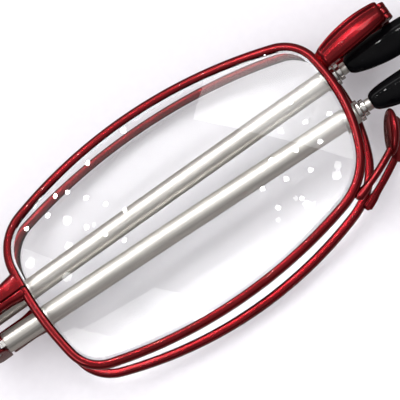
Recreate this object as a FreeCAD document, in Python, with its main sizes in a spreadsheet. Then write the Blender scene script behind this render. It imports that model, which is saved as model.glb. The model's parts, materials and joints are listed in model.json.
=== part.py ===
"""Folding reading glasses with a hinged bridge and telescopic temples, folded flat.

Working frame: X runs along the glasses, with the bridge at +X. Y is the wearer's up.
Z is the front of the right half, which lies on top of the left half, back to back.
z = 0 is the fold plane, midway between the halves, and x = y = 0 is the lens centre.
The finished pieces are then set down so that the origin is under the middle of the part.
"""
import FreeCAD, Part

import math
import os
import re

import Sketcher

DIMENSIONS = {
    # where the working frame's origin ends up: the part's box is centred and stands on z = 0
    "set_down_x": -3.95,
    "set_down_y": -0.20,
    "set_down_z": 6.29,
    # centre line of the rim, seen from the front: four big arcs and four corner arcs
    "top_apex_x": -1.5,
    "top_apex_y": 14.4,
    "top_radius": 73.0,
    "bottom_apex_x": -0.3,
    "bottom_apex_y": -14.0,
    "bottom_radius": 59.0,
    "temporal_apex_x": -23.9,
    "temporal_apex_y": 1.0,
    "temporal_radius": 47.0,
    "nasal_apex_x": 24.3,
    "nasal_apex_y": 3.0,
    "nasal_radius": 23.5,
    "top_nasal_corner": 5.2,
    "bottom_nasal_corner": 9.5,
    "bottom_temporal_corner": 5.4,
    "top_temporal_corner": 6.1,
    # the rim wire and its base curve
    "rim_width": 1.15,
    "rim_depth": 1.4,
    "base_radius": 122.0,
    "base_pole_z": 5.6,
    "blank_height": 8.0,
    "groove_depth": 0.35,
    "groove_width": 0.8,
    "rim_slit": 0.3,
    # the lens, about +1.5 dioptre
    "lens_front_radius": 115.0,
    "lens_front_pole_z": 6.29,
    "lens_back_radius": 180.0,
    "lens_back_pole_z": 4.29,
    "lens_fit": 0.03,
    "bevel_width": 0.7,
    # end pieces at the temporal side, and the temple hinges in them
    "temple_hinge_x": -31.5,
    "right_temple_y": 4.3,
    "left_temple_y": 0.5,
    "left_temple_tilt": -2.0,
    "bar_start_x": -23.9,
    "bar_low_z": 2.0,
    "bar_high_z": 3.9,
    "bar_split_gap": 0.12,
    "end_low_reach": 0.95,
    "end_high_reach": 2.2,
    "end_front_x": -33.0,
    "end_back_x": -30.1,
    "closing_block_end_x": -29.7,
    "knuckle_radius": 1.3,
    "knuckle_middle_width": 0.9,
    "knuckle_gap": 0.06,
    "hinge_screw_radius": 0.5,
    "screw_head_radius": 0.78,
    "screw_head_height": 0.5,
    "closing_screw_x": -27.4,
    "closing_screw_z": 2.95,
    "running_clearance": 0.03,
    "seat_clearance": 0.02,
    "cut_margin": 1.0,
    "bar_overlap": 0.1,
    # the bridge halves and their hinge
    "bridge_hinge_x": 34.7,
    "bridge_hinge_low_y": 6.2,
    "bridge_hinge_high_y": 8.6,
    "bridge_middle_width": 0.9,
    "bridge_knuckle_radius": 0.75,
    "bridge_pin_radius": 0.35,
    "bridge_face_gap": 0.05,
    "bridge_root_x": 24.3,
    "bridge_root_low_y": 4.75,
    "bridge_root_high_y": 7.15,
    "bridge_end_low_y": 5.92,
    "bridge_root_top_z": 4.05,
    "bridge_root_under_z": 2.4,
    "bridge_end_top_z": 2.75,
    "bridge_upper_bow": 22.0,
    "bridge_lower_bow": 60.0,
    "bridge_top_bow": 26.0,
    "bridge_under_bow": 34.0,
    "bridge_end_under_z": 1.55,
    "bridge_arch_end_x": 32.65,
    "bridge_heel_x": 33.85,
    "bridge_heel_low_y": 6.08,
    "bridge_slot_x": 33.85,
    # nose pads, and the wires that carry them
    "pad_arm_radius": 0.45,
    "pad_centre_x": 26.75,
    "pad_centre_y": -6.8,
    "pad_centre_z": 2.25,
    "pad_half_length": 3.1,
    "pad_half_height": 2.0,
    "pad_half_thickness": 0.8,
    "pad_turn": -29.0,
    "pad_lean": 30.0,
    "pad_foot_x": 18.25,
    "pad_foot_y": -11.8,
    "pad_foot_z": 3.6,
    "pad_bend_x": 21.6,
    "pad_bend_y": -10.55,
    "pad_bend_z": 2.8,
    "pad_socket_x": 25.5,
    "pad_socket_y": -8.6,
    # telescopic temples, measured along each temple from its hinge axis
    "outer_tube_radius": 1.4,
    "outer_tube_bore": 1.18,
    "outer_tube_start": 1.7,
    "outer_tube_end": 56.1,
    "outer_collar_radius": 1.48,
    "outer_collar_width": 0.7,
    "middle_tube_radius": 1.0,
    "middle_tube_bore": 0.8,
    "middle_tube_start": 6.6,
    "middle_collar_radius": 1.15,
    "middle_collar_width": 0.65,
    "collar_gap": 0.02,
    "ferrule_radius": 0.82,
    "ferrule_start": 57.52,
    "rod_radius": 0.6,
    "rod_start": 8.4,
    "stop_ring_width": 1.6,
    "leaf_web_half": 0.9,
    "leaf_web_end": 2.0,
    "leaf_plug_end": 4.2,
    "tip_start": 58.3,
    "tip_bore_depth": 8.0,
}

# The black tip's cross-sections: how far from its start, how far below the tube's axis,
# and its half width and half thickness.
TIP_SECTIONS = {
    "start": (0.0, 0.0, 1.00, 0.95),
    "shoulder": (0.7, 0.05, 1.40, 1.12),
    "swell": (3.0, 0.32, 1.90, 1.28),
    "belly": (6.0, 0.60, 2.18, 1.33),
    "broad": (8.6, 0.78, 2.20, 1.30),
    "taper": (11.4, 0.88, 1.70, 1.08),
    "nose": (13.3, 0.97, 0.90, 0.68),
    "end": (14.1, 1.00, 0.35, 0.28),
}

doc = FreeCAD.newDocument("folding_reading_glasses")
sheet = doc.addObject("Spreadsheet::Sheet", "dimensions")
pieces = []


def fill_sheet():
    """Write every driving dimension to the sheet, one row each, under its alias."""
    values = dict(DIMENSIONS)
    for section, sizes in TIP_SECTIONS.items():
        for word, size in zip(("along", "drop", "half_width", "half_thickness"), sizes):
            values[f"tip_{section}_{word}"] = size
    for row, (alias, value) in enumerate(values.items(), start=1):
        sheet.set(f"A{row}", alias)
        sheet.set(f"B{row}", str(value))
        sheet.setAlias(f"B{row}", alias)
    doc.recompute()


def size(alias):
    """A dimension as a number, for starting positions and for shapes made in code."""
    return float(getattr(sheet, alias))


def bound(text):
    """The expression with each alias in it pointing at the sheet."""
    return re.sub(r"[a-z]\w*", lambda found: f"dimensions.{found.group()}", text)


def value_of(text):
    """The number that an expression of aliases stands for."""
    return float(sheet.evalExpression(bound(text)))


def bind(item, **expressions):
    """Bind properties of an object to expressions of the sheet's aliases."""
    for name, text in expressions.items():
        item.setExpression(name, bound(text))


def box(name, low_x, high_x, low_y, high_y, low_z, high_z):
    """A box between six planes, each an expression of aliases."""
    item = doc.addObject("Part::Box", name)
    bind(item, Length=f"{high_x} - ( {low_x} )", Width=f"{high_y} - ( {low_y} )")
    bind(item, Height=f"{high_z} - ( {low_z} )")
    item.setExpression("Placement.Base.x", bound(low_x))
    item.setExpression("Placement.Base.y", bound(low_y))
    item.setExpression("Placement.Base.z", bound(low_z))
    return item


def combine(kind, name, first, *others):
    """A chain of Part booleans, first object minus, plus or common with each of the rest."""
    result = first
    for number, other in enumerate(others):
        step = doc.addObject(f"Part::{kind}", f"{name}_{kind.lower()}_{number}")
        step.Base = result
        step.Tool = other
        result = step
    return result


def finish(item, label):
    """Wrap a finished piece under its own name, free to be placed, and keep it for writing."""
    piece = doc.addObject("Part::Compound", label)
    piece.Label = label
    piece.Links = [item]
    pieces.append(piece)
    return piece


def plane(body, role):
    """One of a body's own origin planes."""
    return next(item for item in body.Origin.OriginFeatures if item.Role == role)


def new_body(name):
    return doc.addObject("PartDesign::Body", name)


def new_sketch(body, name, role):
    """A sketch flat on one of the body's own origin planes."""
    sketch = body.newObject("Sketcher::SketchObject", name)
    sketch.AttachmentSupport = [(plane(body, role), "")]
    sketch.MapMode = "FlatFace"
    return sketch


def constrain(sketch, kind, *where, text):
    """A dimension in a sketch, bound to an expression of the sheet's aliases."""
    index = sketch.addConstraint(Sketcher.Constraint(kind, *where, value_of(text)))
    sketch.setExpression(f"Constraints[{index}]", bound(text))


OUTLINE_SIDES = (
    # name, direction of its apex from its centre
    ("top", (0, 1)),
    ("nasal", (1, 0)),
    ("bottom", (0, -1)),
    ("temporal", (-1, 0)),
)
OUTLINE_CORNERS = ("top_nasal", "bottom_nasal", "bottom_temporal", "top_temporal")


def crossing(first, first_radius, second, second_radius, towards):
    """Where two circles cross, at the crossing that lies furthest in a direction."""
    between = second - first
    gap = between.Length
    along = (first_radius**2 - second_radius**2 + gap**2) / (2 * gap)
    aside = math.sqrt(first_radius**2 - along**2)
    across = FreeCAD.Vector(-between.y, between.x, 0) / gap
    middle = first + between * (along / gap)
    return max((middle + across * aside, middle - across * aside), key=towards.dot)


def outline(sketch, offset):
    """The rim's outline moved outwards by offset: eight arcs, each tangent to the next."""
    grow = value_of(offset)
    ways = [FreeCAD.Vector(*way, 0) for _, way in OUTLINE_SIDES]
    centres = []
    for (name, _), way in zip(OUTLINE_SIDES, ways):
        apex = FreeCAD.Vector(size(f"{name}_apex_x"), size(f"{name}_apex_y"), 0)
        centres.append(apex - way * size(f"{name}_radius"))
    radii = [size(f"{name}_radius") for name, _ in OUTLINE_SIDES]
    corners = [size(f"{name}_corner") for name in OUTLINE_CORNERS]
    corner_centres = []
    for n in range(4):
        after = n - 3
        inner = [radii[n] - corners[n], radii[after] - corners[n]]
        towards = ways[n] + ways[after]
        corner_centres.append(crossing(centres[n], inner[0], centres[after], inner[1], towards))
    drawn = []
    for n in range(4):
        centre, before, after = centres[n], corner_centres[n - 1], corner_centres[n]
        start = math.atan2(before.y - centre.y, before.x - centre.x)
        end = math.atan2(after.y - centre.y, after.x - centre.x)
        drawn.append(arc(sketch, centre, radii[n] + grow, end, start))
        corner = corner_centres[n]
        following = centres[n - 3]
        leave = math.atan2(corner.y - following.y, corner.x - following.x)
        drawn.append(arc(sketch, corner, corners[n] + grow, leave, end))
    for n in range(8):
        # each arc runs anticlockwise, so its start meets the end of the next one round
        sketch.addConstraint(Sketcher.Constraint("Tangent", drawn[n], 1, drawn[n - 7], 2))
    for n, (name, (way_x, way_y)) in enumerate(OUTLINE_SIDES):
        side = drawn[2 * n]
        constrain(sketch, "Radius", side, text=f"{name}_radius + {offset}")
        sign = "-" if way_x + way_y > 0 else "+"
        centre_x = f"{name}_apex_x" + (f" {sign} {name}_radius" if way_x else "")
        centre_y = f"{name}_apex_y" + (f" {sign} {name}_radius" if way_y else "")
        constrain(sketch, "DistanceX", -1, 1, side, 3, text=centre_x)
        constrain(sketch, "DistanceY", -1, 1, side, 3, text=centre_y)
        corner = drawn[2 * n + 1]
        constrain(sketch, "Radius", corner, text=f"{OUTLINE_CORNERS[n]}_corner + {offset}")


def arc(sketch, centre, radius, start, end):
    """An arc in a sketch, anticlockwise from one angle to the other."""
    circle = Part.Circle(centre, FreeCAD.Vector(0, 0, 1), radius)
    while end < start:
        end += 2 * math.pi
    return sketch.addGeometry(Part.ArcOfCircle(circle, start, end))


def outline_blank(name, offsets):
    """A straight-sided blank with the rim's outline, or a band between two of them."""
    body = new_body(name)
    sketch = new_sketch(body, f"{name}_outline", "XY_Plane")
    for offset in offsets:
        outline(sketch, offset)
    pad = body.newObject("PartDesign::Pad", f"{name}_pad")
    pad.Profile = sketch
    bind(pad, Length="blank_height")
    return body


def base_shell(name, thickness):
    """A spherical shell of a given thickness about the base curve."""
    parts = []
    for word, sign in (("front", "+"), ("back", "-")):
        ball = doc.addObject("Part::Sphere", f"{name}_{word}")
        bind(ball, Radius=f"base_radius {sign} 0.5 * {thickness}")
        ball.setExpression("Placement.Base.z", bound("base_pole_z - base_radius"))
        parts.append(ball)
    return combine("Cut", name, *parts)


def ball(name, radius, pole):
    """A ball whose highest point is at a pole height."""
    item = doc.addObject("Part::Sphere", name)
    bind(item, Radius=radius)
    item.setExpression("Placement.Base.z", bound(f"{pole} - {radius}"))
    return item


def mirrored(item, name):
    """The same shape on the other side of the fold plane."""
    twin = doc.addObject("Part::Mirroring", name)
    twin.Source = item
    twin.Normal = FreeCAD.Vector(0, 0, 1)
    return twin


def make_rims():
    """Both rims: a grooved wire on the base curve, split at the end piece to take the lens."""
    band = outline_blank("rim_band", ("0.5 * rim_width", "-0.5 * rim_width"))
    ring = combine("Common", "rim_ring", band, base_shell("rim_shell", "rim_depth"))
    grooved = outline_blank("groove_blank", ("-0.5 * rim_width + groove_depth",))
    groove = combine("Common", "rim_groove", grooved, base_shell("groove_shell", "groove_width"))
    grooved_ring = combine("Cut", "rim_grooved", ring, groove)
    for side in ("right", "left"):
        blank = grooved_ring if side == "right" else mirrored(grooved_ring, "left_rim_blank")
        slit = box(
            f"{side}_rim_slit",
            "temporal_apex_x - rim_width",
            "temporal_apex_x + rim_width",
            f"{side}_temple_y - 0.5 * rim_slit",
            f"{side}_temple_y + 0.5 * rim_slit",
            "-1 * blank_height",
            "blank_height",
        )
        finish(combine("Cut", f"{side}_rim_split", blank, slit), f"{side}_rim")


def make_lenses():
    """Both lenses: a meniscus with a bevel all round that sits in the rim's groove."""
    inside = outline_blank("lens_blank", ("-0.5 * rim_width - lens_fit",))
    front = ball("lens_front", "lens_front_radius", "lens_front_pole_z")
    back = ball("lens_back", "lens_back_radius", "lens_back_pole_z")
    meniscus = combine("Cut", "lens_back", combine("Common", "lens_front", inside, front), back)
    edge = outline_blank("bevel_blank", ("-0.5 * rim_width + groove_depth - lens_fit",))
    bevel = combine("Common", "lens_bevel", edge, base_shell("bevel_shell", "bevel_width"))
    lens = combine("Fuse", "lens_whole", meniscus, bevel)
    finish(lens, "right_lens")
    finish(mirrored(lens, "left_lens_twin"), "left_lens")


def upright(name, radius, low, high, x, z="0"):
    """A cylinder along Y between two heights."""
    item = doc.addObject("Part::Cylinder", name)
    bind(item, Radius=radius, Height=f"{high} - ( {low} )")
    item.Placement = FreeCAD.Placement(
        FreeCAD.Vector(), FreeCAD.Rotation(FreeCAD.Vector(1, 0, 0), -90)
    )
    item.setExpression("Placement.Base.x", bound(x))
    item.setExpression("Placement.Base.y", bound(low))
    item.setExpression("Placement.Base.z", bound(z))
    return item


def along(name, radius, low, high):
    """A cylinder along X between two distances."""
    item = doc.addObject("Part::Cylinder", name)
    bind(item, Radius=radius, Height=f"{high} - ( {low} )")
    item.Placement = FreeCAD.Placement(
        FreeCAD.Vector(), FreeCAD.Rotation(FreeCAD.Vector(0, 1, 0), 90)
    )
    item.setExpression("Placement.Base.x", bound(low))
    return item


def ring_along(name, radius, bore, low, high):
    """A tube along X between two distances."""
    return combine(
        "Cut", name, along(f"{name}_outside", radius, low, high), along(f"{name}_bore", bore, low, high)
    )


def on_side(item, side, name):
    """A right-hand piece as it is, or its twin beyond the fold plane for the left half."""
    return item if side == "right" else mirrored(item, name)


def make_end_pieces(side):
    """The end piece, the block that closes the rim below it, and the screw through both."""
    middle = f"{side}_temple_y"
    low = f"{middle} - end_low_reach"
    high = f"{middle} + end_high_reach"
    bar = box(
        f"{side}_upper_bar",
        "end_back_x - bar_overlap",
        "bar_start_x",
        f"{middle} + 0.5 * bar_split_gap",
        high,
        "bar_low_z",
        "bar_high_z",
    )
    post = box(f"{side}_post", "end_front_x", "end_back_x", low, high, "0", "bar_high_z")
    knuckle = upright(f"{side}_end_knuckle", "knuckle_radius", low, high, "temple_hinge_x")
    slot = box(
        f"{side}_knuckle_slot",
        "end_front_x - knuckle_radius",
        "end_back_x + knuckle_radius",
        f"{middle} - 0.5 * knuckle_middle_width - knuckle_gap",
        f"{middle} + 0.5 * knuckle_middle_width + knuckle_gap",
        "-2 * knuckle_radius",
        "knuckle_radius + knuckle_gap",
    )
    bore = upright(f"{side}_end_bore", "hinge_screw_radius", low, high, "temple_hinge_x")
    closing_hole = upright(
        f"{side}_closing_hole",
        "hinge_screw_radius",
        low,
        high,
        "closing_screw_x",
        "closing_screw_z",
    )
    hinge_seat = screw_seat(f"{side}_hinge_seat", high, "temple_hinge_x", "0")
    closing_seat = screw_seat(f"{side}_closing_seat", high, "closing_screw_x", "closing_screw_z")
    solid = combine("Fuse", f"{side}_end", post, outside_rim(f"{side}_bar", bar), knuckle)
    cuts = (slot, bore, closing_hole, hinge_seat, closing_seat)
    end_piece = combine("Cut", f"{side}_end", solid, *cuts)
    finish(on_side(end_piece, side, f"{side}_end_twin"), f"{side}_end_piece")

    block = box(
        f"{side}_lower_bar",
        "closing_block_end_x",
        "bar_start_x",
        low,
        f"{middle} - 0.5 * bar_split_gap",
        "bar_low_z",
        "bar_high_z",
    )
    block_hole = upright(
        f"{side}_block_hole",
        "hinge_screw_radius",
        low,
        middle,
        "closing_screw_x",
        "closing_screw_z",
    )
    closing_block = outside_rim(f"{side}_block", combine("Cut", f"{side}_block", block, block_hole))
    finish(on_side(closing_block, side, f"{side}_block_twin"), f"{side}_closing_block")

    for word, x, z in (
        ("closing", "closing_screw_x", "closing_screw_z"),
        ("temple_hinge", "temple_hinge_x", "0"),
    ):
        name = f"{side}_{word}"
        shank = upright(f"{name}_shank", "hinge_screw_radius - seat_clearance", low, high, x, z)
        head_low = f"{high} - screw_head_height"
        head = upright(f"{name}_head", "screw_head_radius", head_low, high, x, z)
        screw = combine("Fuse", name, shank, head)
        finish(on_side(screw, side, f"{name}_twin"), f"{side}_{word}_screw")


def screw_seat(name, high, x, z):
    """The counterbore that a screw's head sinks into, flush with the high end."""
    radius = "screw_head_radius + running_clearance"
    return upright(name, radius, f"{high} - screw_head_height", high, x, z)


def outside_rim(name, item):
    """What is left of a soldered-on piece outside the right rim, with its end shaped to it."""
    return combine("Cut", f"{name}_fitted", item, rim_outside)


def profile(sketch, corners):
    """A closed outline through corners given as expressions of x and y.

    A corner's third entry is the radius of an arc to the next corner: it bulges to the
    right of the way there, and to the left of it where a fourth entry says so.
    """
    points = [FreeCAD.Vector(value_of(c[0]), value_of(c[1]), 0) for c in corners]
    edges = []
    for n, corner in enumerate(corners):
        start, end = points[n], points[(n + 1) % len(points)]
        if len(corner) == 2:
            edges.append((sketch.addGeometry(Part.LineSegment(start, end)), 1, 2))
            continue
        radius = value_of(corner[2])
        chord = end - start
        aside = FreeCAD.Vector(-chord.y, chord.x, 0) / chord.Length
        depth = math.sqrt(radius**2 - (chord.Length / 2) ** 2)
        bulges_left = len(corner) == 4
        centre = (start + end) / 2 + aside * (-depth if bulges_left else depth)
        first, last = (end, start) if bulges_left else (start, end)
        angles = [math.atan2(p.y - centre.y, p.x - centre.x) for p in (first, last)]
        edge = arc(sketch, centre, radius, *angles)
        edges.append((edge, 2, 1) if bulges_left else (edge, 1, 2))
        constrain(sketch, "Radius", edge, text=corner[2])
    for n, (edge, first, last) in enumerate(edges):
        following, following_first, _ = edges[(n + 1) % len(edges)]
        sketch.addConstraint(
            Sketcher.Constraint("Coincident", edge, last, following, following_first)
        )
        constrain(sketch, "DistanceX", -1, 1, edge, first, text=corners[n][0])
        constrain(sketch, "DistanceY", -1, 1, edge, first, text=corners[n][1])


def slab(name, role, corners, length, both_ways=False):
    """A body padded from one closed profile on an origin plane."""
    body = new_body(name)
    sketch = new_sketch(body, f"{name}_profile", role)
    profile(sketch, corners)
    pad = body.newObject("PartDesign::Pad", f"{name}_pad")
    pad.Profile = sketch
    bind(pad, Length=length)
    pad.Midplane = both_ways
    return body


def bridge_arm(side):
    """One half of the bridge, drawn on the right: an arched strip with its hinge knuckles."""
    face = "bridge_hinge_x - bridge_face_gap"
    seen_from_front = slab(
        f"{side}_bridge_plan",
        "XY_Plane",
        (
            ("bridge_root_x", "bridge_root_low_y", "bridge_lower_bow"),
            (face, "bridge_end_low_y"),
            (face, "bridge_hinge_high_y", "bridge_upper_bow"),
            ("bridge_root_x", "bridge_root_high_y"),
        ),
        "blank_height",
    )
    seen_from_below = slab(
        f"{side}_bridge_side",
        "XZ_Plane",
        (
            ("bridge_root_x", "bridge_root_under_z", "bridge_under_bow", "left"),
            ("bridge_arch_end_x", "bridge_end_under_z"),
            ("bridge_heel_x", "0"),
            (face, "0"),
            (face, "bridge_end_top_z", "bridge_top_bow"),
            ("bridge_root_x", "bridge_root_top_z"),
        ),
        "4 * bridge_hinge_high_y",
        both_ways=True,
    )
    strip = combine("Common", f"{side}_bridge", seen_from_front, seen_from_below)
    strip = outside_rim(f"{side}_bridge", strip)
    middle = "0.5 * ( bridge_hinge_low_y + bridge_hinge_high_y )"
    half = "0.5 * bridge_middle_width"
    barrel = upright(
        f"{side}_bridge_barrel",
        "bridge_knuckle_radius",
        "bridge_hinge_low_y",
        "bridge_hinge_high_y",
        "bridge_hinge_x",
    )
    reach = "2 * bridge_knuckle_radius"
    sizes = ("bridge_slot_x", f"bridge_hinge_x + {reach}")
    heights = (f"0 - {reach}", "bridge_knuckle_radius + knuckle_gap")
    if side == "right":
        spans = ((f"{middle} - {half} - knuckle_gap", f"{middle} + {half} + knuckle_gap"),)
    else:
        spans = (
            ("bridge_end_low_y - cut_margin", f"{middle} - {half}"),
            (f"{middle} + {half}", "bridge_hinge_high_y + cut_margin"),
        )
    slots = [
        box(f"{side}_bridge_slot_{n}", *sizes, low, high, *heights)
        for n, (low, high) in enumerate(spans)
    ]
    relief = box(
        f"{side}_heel_relief",
        "bridge_root_x",
        "bridge_hinge_x",
        "bridge_end_low_y - cut_margin",
        "bridge_heel_low_y",
        "0 - cut_margin",
        "bridge_end_under_z",
    )
    pin_fit = "bridge_pin_radius" + (" + running_clearance" if side == "left" else "")
    bore = upright(
        f"{side}_bridge_bore",
        pin_fit,
        "bridge_end_low_y - cut_margin",
        "bridge_hinge_high_y + cut_margin",
        "bridge_hinge_x",
    )
    strip = combine("Cut", f"{side}_bridge_strip", strip, relief, *slots, bore)
    knuckles = combine("Cut", f"{side}_bridge_knuckles", barrel, *slots, bore)
    arm = combine("Fuse", f"{side}_bridge_arm", strip, knuckles)
    finish(on_side(arm, side, f"{side}_bridge_twin"), f"{side}_bridge_arm")


def make_bridge():
    """Both bridge halves and the pin that joins them."""
    bridge_arm("right")
    bridge_arm("left")
    pin = upright(
        "bridge_pin",
        "bridge_pin_radius",
        "bridge_hinge_low_y",
        "bridge_hinge_high_y",
        "bridge_hinge_x",
    )
    finish(pin, "bridge_hinge_pin")


def pad_arm_path():
    """The way of the wire from the rim's lower nasal corner to the back of the pad."""
    foot = FreeCAD.Vector(*(size(f"pad_foot_{axis}") for axis in "xyz"))
    bend = FreeCAD.Vector(*(size(f"pad_bend_{axis}") for axis in "xyz"))
    socket = FreeCAD.Vector(size("pad_socket_x"), size("pad_socket_y"), size("pad_centre_z"))
    return foot, bend, socket


def make_nose_pads():
    """The nose pads, oval plates on edge between the halves, and their wires."""
    foot, bend, socket_end = pad_arm_path()
    wire = Part.Wire([Part.Arc(foot, bend, socket_end).toShape()])
    start = wire.Edges[0].tangentAt(wire.Edges[0].FirstParameter)
    ring = Part.Wire([Part.Circle(foot, start, size("pad_arm_radius")).toShape()])
    stem = wire.makePipeShell([ring], True, False)
    whole_stem = doc.addObject("Part::Feature", "nose_pad_stem")
    whole_stem.Shape = stem
    arm = outside_rim("nose_pad_arm", whole_stem)
    oval = doc.addObject("Part::Ellipsoid", "pad_oval")
    bind(oval, Radius1="pad_half_height", Radius2="pad_half_thickness", Radius3="pad_half_length")
    centre = FreeCAD.Vector(*(size(f"pad_centre_{axis}") for axis in "xyz"))
    turn = FreeCAD.Rotation(FreeCAD.Vector(0, 0, 1), size("pad_turn"))
    lean = FreeCAD.Rotation(FreeCAD.Vector(0, 1, 0), size("pad_lean"))
    oval.Placement = FreeCAD.Placement(centre, turn * lean)
    socket = doc.addObject("Part::Feature", "pad_socket")
    socket.Shape = stem
    pad = combine("Cut", "nose_pad", oval, socket)
    finish(arm, "right_nose_pad_arm")
    finish(mirrored(arm, "left_pad_arm_twin"), "left_nose_pad_arm")
    finish(pad, "right_nose_pad")
    finish(mirrored(pad, "left_pad_twin"), "left_nose_pad")


def make_temple(side):
    """A temple along X from its hinge: leaf, two telescoping tubes, a rod and a black tip."""
    name = f"{side}_temple"
    width = "0.5 * knuckle_middle_width"
    barrel = upright(f"{name}_barrel", "knuckle_radius", f"0 - {width}", width, "0")
    thick = "leaf_web_half"
    web = box(f"{name}_web", "0", "leaf_web_end", f"0 - {width}", width, f"0 - {thick}", thick)
    plug_radius = "outer_tube_bore - seat_clearance"
    plug = along(f"{name}_plug", plug_radius, "outer_tube_start", "leaf_plug_end")
    hole = upright(
        f"{name}_leaf_bore", "hinge_screw_radius + running_clearance", f"0 - {width}", width, "0"
    )
    solid = combine("Fuse", f"{name}_leaf", barrel, web, plug)
    leaf = combine("Cut", f"{name}_leaf", solid, hole)

    outer = ring_along(
        f"{name}_outer", "outer_tube_radius", "outer_tube_bore", "outer_tube_start", "outer_tube_end"
    )
    collar_end = "outer_tube_end + outer_collar_width"
    outer_collar = ring_along(
        f"{name}_outer_collar",
        "outer_collar_radius",
        "middle_tube_radius + running_clearance",
        "outer_tube_end",
        collar_end,
    )
    middle_end = f"{collar_end} + collar_gap"
    middle = ring_along(
        f"{name}_middle", "middle_tube_radius", "middle_tube_bore", "middle_tube_start", middle_end
    )
    middle_stop = ring_along(
        f"{name}_middle_stop",
        "outer_tube_bore - running_clearance",
        "middle_tube_radius",
        "middle_tube_start",
        "middle_tube_start + stop_ring_width",
    )
    middle_collar = ring_along(
        f"{name}_middle_collar",
        "middle_collar_radius",
        "rod_radius + running_clearance",
        middle_end,
        f"{middle_end} + middle_collar_width",
    )
    ferrule = ring_along(
        f"{name}_ferrule", "ferrule_radius", "rod_radius", "ferrule_start", "tip_start"
    )
    rod = along(f"{name}_rod", "rod_radius", "rod_start", "tip_start + tip_bore_depth")
    rod_stop = ring_along(
        f"{name}_rod_stop",
        "middle_tube_bore - running_clearance",
        "rod_radius",
        "rod_start",
        "rod_start + stop_ring_width",
    )
    tip = make_tip(name)
    for piece, word in (
        (leaf, "temple_leaf"),
        (outer, "outer_tube"),
        (outer_collar, "outer_collar"),
        (middle, "middle_tube"),
        (middle_stop, "middle_stop_ring"),
        (middle_collar, "middle_collar"),
        (rod, "rod"),
        (rod_stop, "rod_stop_ring"),
        (ferrule, "tip_ferrule"),
        (tip, "temple_tip"),
    ):
        set_temple(finish(piece, f"{side}_{word}"), side)


def make_tip(name):
    """The black tip: a flattened drop lofted through ellipses, bored for the rod."""
    sections = []
    for word in TIP_SECTIONS:
        section = doc.addObject("Part::Ellipse", f"{name}_tip_{word}")
        bind(section, MajorRadius=f"tip_{word}_half_width", MinorRadius=f"tip_{word}_half_thickness")
        section.Placement = FreeCAD.Placement(
            FreeCAD.Vector(), FreeCAD.Rotation(FreeCAD.Vector(1, 1, 1), 120)
        )
        section.setExpression("Placement.Base.x", bound(f"tip_start + tip_{word}_along"))
        section.setExpression("Placement.Base.y", bound(f"0 - tip_{word}_drop"))
        sections.append(section)
    loft = doc.addObject("Part::Loft", f"{name}_tip_loft")
    loft.Sections = sections
    loft.Solid = True
    bore = along(f"{name}_tip_bore", "rod_radius", "tip_start - cut_margin", "tip_start + tip_bore_depth")
    return combine("Cut", f"{name}_tip", loft, bore)


def set_temple(item, side):
    """Lay a temple piece in place: hinge at the end piece, length along the lens."""
    turn = FreeCAD.Rotation(FreeCAD.Vector(0, 0, 1), 0)
    if side == "left":
        turn = FreeCAD.Rotation(FreeCAD.Vector(0, 0, 1), size("left_temple_tilt"))
    hinge = FreeCAD.Vector(size("temple_hinge_x"), size(f"{side}_temple_y"), 0)
    item.Placement = FreeCAD.Placement(hinge, turn)


def set_down():
    """Move every finished piece so that the part stands on z = 0, centred on the origin."""
    shift = FreeCAD.Vector(size("set_down_x"), size("set_down_y"), size("set_down_z"))
    for item in pieces:
        item.Placement = FreeCAD.Placement(shift, FreeCAD.Rotation()).multiply(item.Placement)


def check():
    """Stop if any object failed, or any finished piece is not one valid solid."""
    for item in doc.Objects:
        if {"Invalid", "Error"} & set(item.State):
            raise RuntimeError(f"{item.Name} failed: {item.State}")
    for item in pieces:
        shape = item.Shape
        if shape.isNull() or not shape.isValid() or len(shape.Solids) != 1:
            raise RuntimeError(f"{item.Label} is not one valid solid: {len(shape.Solids)}")


def write():
    """One STEP file for each piece."""
    os.makedirs("parts", exist_ok=True)
    for item in pieces:
        item.Shape.exportStep(f"parts/{item.Label}.step")


fill_sheet()
rim_outside = outline_blank("rim_outside", ("0.5 * rim_width + seat_clearance",))
make_rims()
make_lenses()
for side in ("right", "left"):
    make_end_pieces(side)
    make_temple(side)
make_bridge()
make_nose_pads()
doc.recompute()
set_down()
doc.recompute()
check()
write()
whole = Part.makeCompound([item.Shape for item in pieces]).optimalBoundingBox()
print(f"{len(pieces)} pieces, box x {whole.XMin:.3f} {whole.XMax:.3f}")
print(f"y {whole.YMin:.3f} {whole.YMax:.3f} z {whole.ZMin:.3f} {whole.ZMax:.3f}")
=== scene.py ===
"""Folding reading glasses, folded flat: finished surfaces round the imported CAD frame.

Working frame, in millimetres: X runs along the glasses with the bridge at +X, Y is the wearer's up,
z = 0 is the fold plane midway between the halves, and the right half lies on top, front up.
x = y = 0 is the lens centre. The function at() turns a working point into the scene's metres.
"""

import json
import math

import bmesh
import bpy
from mathutils import Matrix, Vector

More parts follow.
